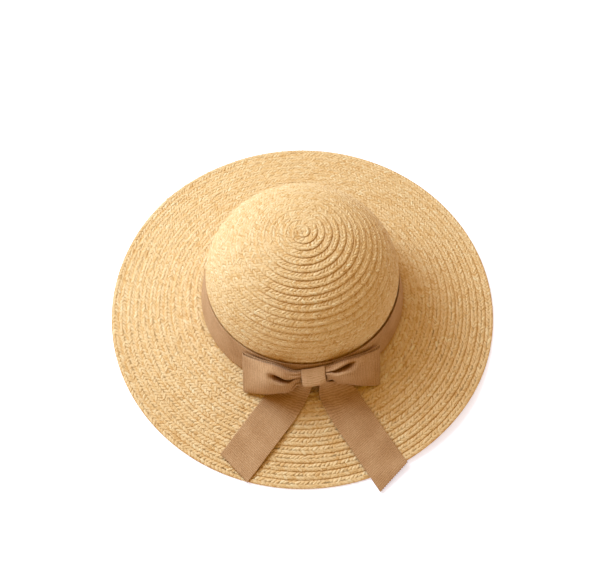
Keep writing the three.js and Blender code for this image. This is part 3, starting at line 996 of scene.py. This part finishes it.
# How far a loop's front stands out: a puff that is highest halfway along and across, less the
# folds, each a bell in section that fades along the loop.
def loopRelief(side, reach, v):
    shape = puffShape
    section = np.clip(np.sin(np.pi * v), 0, 1)
    puff = smooth(*shape["starts"], reach) * (1 - smooth(*shape["ends"], reach))
    puff = puff * section ** shape["power"]
    gathers = smooth(*shape["gatherStarts"], reach) * section
    gathers = shape["gather"] * gathers * (1 - smooth(*shape["gatherEnds"], reach))
    left = 1.0
    for fold in folds[side]:
        along = smooth(0.18, fold["reach"], reach)
        middle = lerp(fold["v"][0], fold["v"][1], along)
        width = lerp(fold["width"][0], fold["width"][1], along)
        width = width * np.where(v < middle, shape["foldAbove"], shape["foldBelow"])
        bell = np.exp(-((v - middle) / width) ** 2)
        fade = 1 - smooth(fold["reach"] - shape["foldFade"], fold["reach"], reach)
        left = left * (1 - fold["depth"] * bell * fade)
    return (lobes[side] * puff + gathers) * left


# A ply is ruled between its top edge, near the band, and its bottom edge, near the brim.
def loopPoint(rows, side, length, reach, behind, v):
    x = bow["offset"] + side * reach * length
    floorGap = 2 * ribbon["clearance"] + 1.5 * ribbon["cadThickness"]
    base = footHeight + ribbon["clearance"]
    topHeight = base + alongRows(rows, "top", reach) * band["height"]
    top = beforeBand(x, topHeight, alongRows(rows, "topOut", reach) * ribbon["width"] - behind)
    bottomShare = alongRows(rows, "bottom", reach)
    bottomOut = alongRows(rows, "bottomOut", reach) * ribbon["width"] - behind
    bottom = beforeBand(x, base + bottomShare * band["height"], bottomOut)
    onStraw = brimTop(x, bottom[..., 1]) + floorGap
    held = np.clip(bottomShare / pinch["bottom"], 0, 1)
    bottom[..., 2] = lerp(onStraw, bottom[..., 2], held)
    point = lerp(top, bottom, v[..., None])
    pleat = bow["pleat"] * (1 - smooth(pinch["reach"], 0.7, reach))
    point[..., 1] += pleat * np.cos(3 * np.pi * v)
    return point


# The loops: the front ply from the left end to the right, round the right fold, the rear ply back
# and round the left fold, with the relief on the front ply only.
def makeLoops():
    half = bow["plySteps"] + bow["foldSteps"]
    step = np.arange(2 * half)[:, None]
    v = np.linspace(0, 1, bow["columns"] + 1)[None]
    rear = step >= half
    place = np.where(rear, step - half, step)
    across = np.clip(place / bow["plySteps"], 0, 1) * 2 - 1
    side = np.where(np.where(rear, -1, 1) * across < 0, -1, 1)
    length = np.where(side < 0, bow["leftReach"], bow["rightReach"])
    flat = 1 - bow["fold"] / 2 / length
    reach = np.abs(across) * flat
    puff = bow["puff"] * smooth(pinch["reach"], 0.6, reach) * smooth(-1, -0.8, -reach) * v
    gap = lerp(ribbon["cadThickness"] + bow["plyGap"], bow["fold"], smooth(0.7, 0.97, reach)) + puff
    turn = np.pi * np.maximum(0, place - bow["plySteps"]) / bow["foldSteps"]
    swing = reach + (1 - flat) * np.sin(turn)
    behind = np.where(rear, gap * (1 + np.cos(turn)) / 2, gap * (1 - np.cos(turn)) / 2)
    swing, behind, length, v, side = np.broadcast_arrays(swing, behind, length, v, side)
    left = loopPoint(leftSections, -1, length, swing, behind, v)
    right = loopPoint(rightSections, 1, length, swing, behind, v)
    middle = np.where((side < 0)[..., None], left, right)
    relief = np.where(side < 0, loopRelief(-1, swing, v), loopRelief(1, swing, v))
    relief = relief * np.where(np.broadcast_to(rear, relief.shape), 0, 1)
    middle[..., 1] -= puffShape["forward"] * relief
    middle[..., 2] += puffShape["upward"] * relief
    middle = tiltBow(middle)
    u = (bow["leftReach"] + bow["rightReach"]) / bow["plySteps"] * np.arange(2 * half)
    return putSheet("bowLoops", middle, u, ribbon["width"] * v[0], ribbonCloth, ring=True)


# Knot: a short sleeve round the pinch, a rounded box in section and fuller in front.
pinchFront = bow["pleat"] + ribbon["cadThickness"] / 2
pinchRear = -1.5 * ribbon["cadThickness"] - bow["plyGap"] - bow["pleat"]
knotTop = footHeight + pinch["top"] * band["height"] + 4 * ribbon["clearance"] + 0.5
knotBottom = footHeight + pinch["bottom"] * band["height"] - 2 * ribbon["clearance"] - 0.5


def makeKnot():
    angle = 2 * np.pi * np.arange(knot["around"])[:, None] / knot["around"]
    v = np.linspace(0, 1, knot["columns"] + 1)[None]
    halfDepth = (pinchFront - pinchRear) / 2 + ribbon["clearance"] + 0.5
    deep = np.sign(np.cos(angle)) * np.abs(np.cos(angle)) ** knot["roundness"]
    high = np.sign(np.sin(angle)) * np.abs(np.sin(angle)) ** knot["roundness"]
    swell = knot["bulge"] * np.maximum(0, deep) * (1 - 0.35 * (2 * v - 1) ** 4)
    swell = swell * (1 - high ** 2) * (1 - 0.6 * high)
    lean = lerp(pinch["bottomOut"], pinch["topOut"], (high + 1) / 2) * ribbon["width"]
    out = lean + (pinchFront + pinchRear) / 2 + halfDepth * deep + swell
    height = (knotTop + knotBottom) / 2 + (knotTop - knotBottom) / 2 * high + 0 * v
    middle = tiltBow(beforeBand(bow["offset"] + knot["width"] * (v - 0.5), height, out))
    u = knot["girth"] * np.arange(knot["around"]) / knot["around"]
    return putSheet("bowKnot", middle, u, knot["width"] * v[0], knotClothPaintedLight, ring=True)


# Tails: each drops from under the knot, fans out to the ribbon's width and lies on the brim.
tails = [
    {"name": "tailLeft", "node": "tail_left", "side": -1, "splay": 36.9, "heel": 0.43, "cut": 10,
     "length": 94},
    {"name": "tailRight", "node": "tail_right", "side": 1, "splay": 33.4, "heel": 0.45, "cut": 13,
     "length": 100},
]
tailShape = {
    "root": (0.17, 0.5),     # the tail's edges under the knot, as shares of the knot's width
    "fanStart": 0.02,
    "fanEnds": (0.32, 0.15),
    "dropEnd": 0.17,
    "wave": 1.2,
    "waveStarts": (0.25, 0.5),
    "waveEnds": (0.7, 0.95),
    "tooth": 0.45,
    "teeth": 16,
    "toothStart": 0.96,
    "steps": 110,
    "columns": 64,
}


def makeTail(tail):
    shape = tailShape
    u = np.linspace(0, 1, shape["steps"] + 1)[:, None]
    v = np.linspace(0, 1, shape["columns"] + 1)[None]
    side = tail["side"]
    splay, cut = np.radians([tail["splay"], tail["cut"]])
    heelX = bow["offset"] + side * tail["heel"] * ribbon["width"]
    heelY = -(crown["length"] / 2 + crown["flare"])
    restHeight = ribbon["clearance"] + ribbon["cadThickness"] / 2
    startHeight = knotBottom - ribbon["cadThickness"] - ribbon["clearance"]
    offCentre = ribbon["width"] * (v - 0.5)
    tooth = shape["tooth"] * np.cos(2 * np.pi * shape["teeth"] * v) * smooth(shape["toothStart"], 1, u)
    reach = (tail["length"] - offCentre * np.tan(cut)) * u + tooth
    flatX = heelX + side * (reach * np.sin(splay) + offCentre * np.cos(splay))
    flatY = heelY - reach * np.cos(splay) + offCentre * np.sin(splay)
    knotX = bow["offset"] + side * knot["width"] * lerp(*shape["root"], v) + 0 * u
    startOut = pinch["bottomOut"] * ribbon["width"] + (pinchFront + pinchRear) / 2
    start = beforeBand(knotX, startHeight, startOut)
    fan = smooth(shape["fanStart"], lerp(*shape["fanEnds"], v), u)
    x = lerp(start[..., 0], flatX, fan)
    y = lerp(start[..., 1], flatY, fan)
    waveStart, waveEnd = shape["waveEnds"]
    wave = shape["wave"] * smooth(*shape["waveStarts"], u) * smooth(-waveEnd, -waveStart, -u)
    z = lerp(startHeight, brimTop(x, y) + restHeight + wave, smooth(0, shape["dropEnd"], u))
    y = np.minimum(y, beforeBand(x, z, restHeight)[..., 1])
    return putSheet(tail["name"], tiltBow(np.stack([x, y, z], -1)), tail["length"] * u[:, 0],
                    ribbon["width"] * v[0], ribbonCloth)


addCamera()
addLight()
addFloor()
print("camera, light and floor ready")

straw = strawFinish()
# Both braid finishes hold painted shade at the pattern straws' edges; the backing also along its row
# seams.
gaps = braidFinish("gaps", seamed=0)
backing = braidFinish("backing", seamed=1)
ribbonCloth = ribbonFinish("ribbon", 0)
# The knot has its own copy of the ribbon, painted a little lighter to stand in for light.
knotClothPaintedLight = ribbonFinish("ribbonKnotPaintedLight", ribbonLook["knotPaintedLight"])

crownPieces = makeCrown()
print("crown ready")
brimPieces = makeBrim()
print("brim ready")
for pieces, nodes in ((crownPieces, ("crown_dome", "crown_side")), (brimPieces, ("brim",))):
    for piece in pieces:
        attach(piece, "root")
    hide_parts(*nodes)

ribbonPieces = [(makeBand(), "hat_band"), (makeLoops(), "bow_loops"), (makeKnot(), "bow_knot")]
ribbonPieces += [(makeTail(tail), tail["node"]) for tail in tails]
for piece, node in ribbonPieces:
    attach(piece, "root")
    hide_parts(node)
print("ribbon ready")
